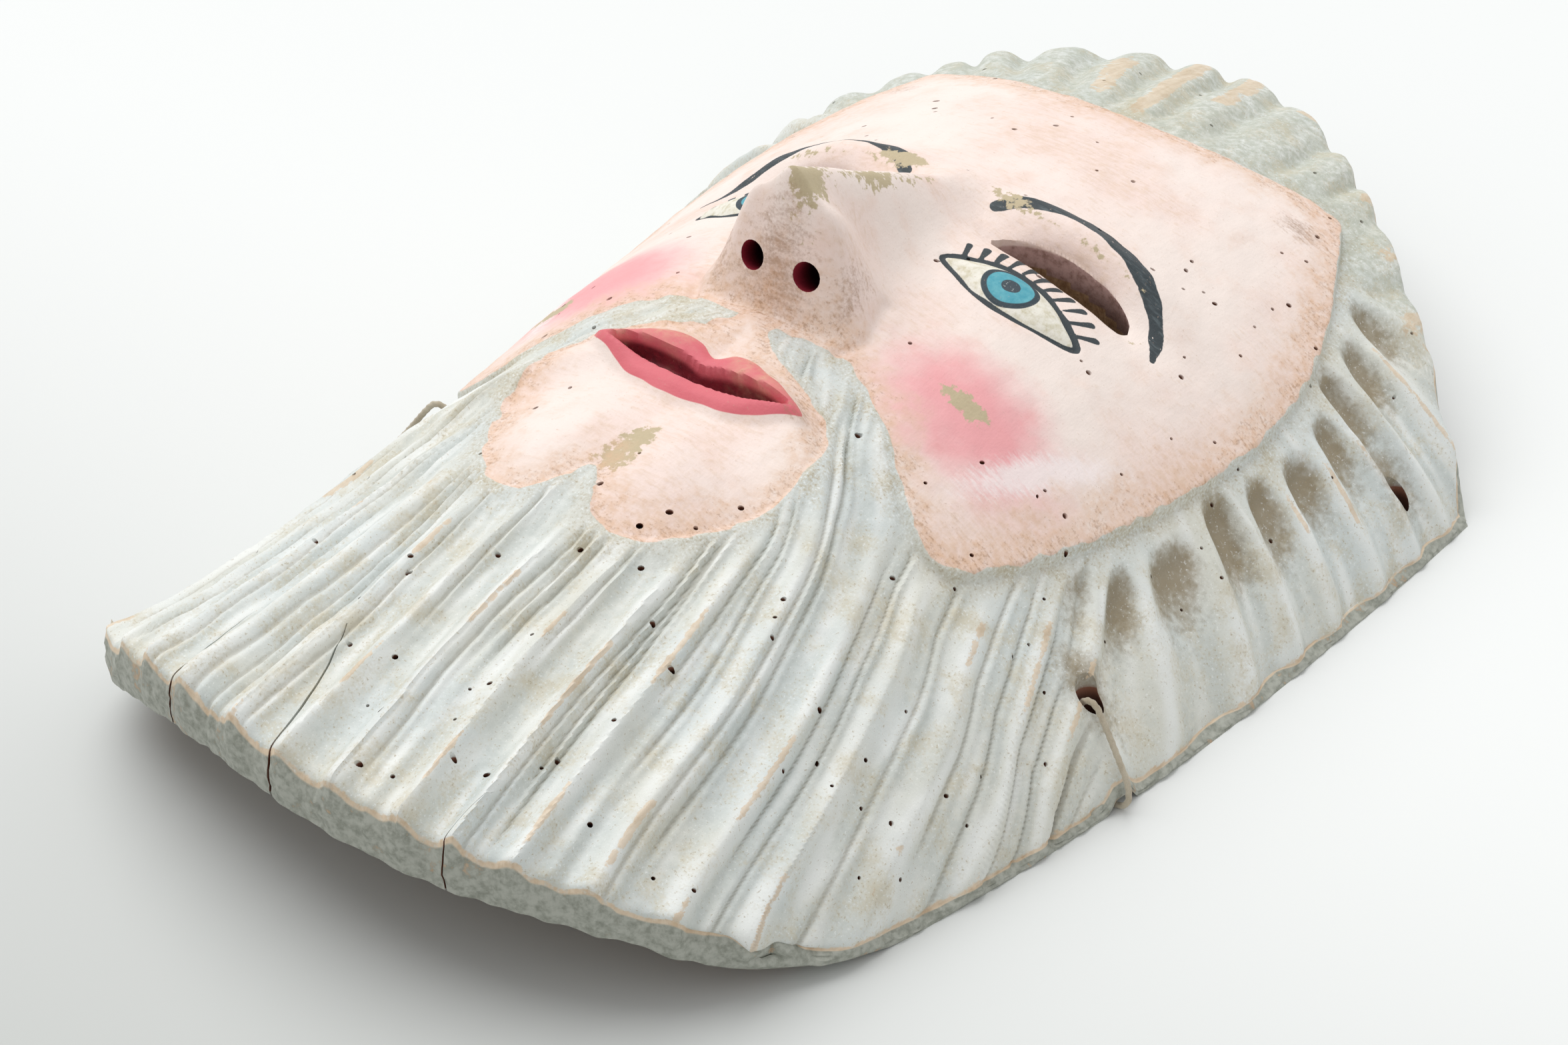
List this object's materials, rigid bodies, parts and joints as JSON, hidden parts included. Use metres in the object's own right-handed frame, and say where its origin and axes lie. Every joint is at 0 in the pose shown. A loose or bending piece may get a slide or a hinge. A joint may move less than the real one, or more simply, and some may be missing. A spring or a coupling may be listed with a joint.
{
  "type": "carved wooden mask",
  "caption": "Hollow-backed carved wooden mask with a beard, sight slits over the eyes and cords tied through its side holes.",
  "frame": {"origin": "under the middle of the mask, on the plane its side rims rest on", "axes": "+X to the viewer's right of the face, +Y from beard to crown, +Z out of the face"},
  "size_m": [0.22, 0.3452, 0.0998],
  "materials": {
    "painted_wood": "worn matte paint over bare wood",
    "cotton_cord": "thin smooth twine, soiled"
  },
  "bodies": {
    "root": {"carved_mask": "painted_wood", "cord_loop_right": "cotton_cord", "cord_loop_left": "cotton_cord", "head_cord": "cotton_cord", "knot_right": "cotton_cord", "knot_left": "cotton_cord"}
  },
  "joints": []
}
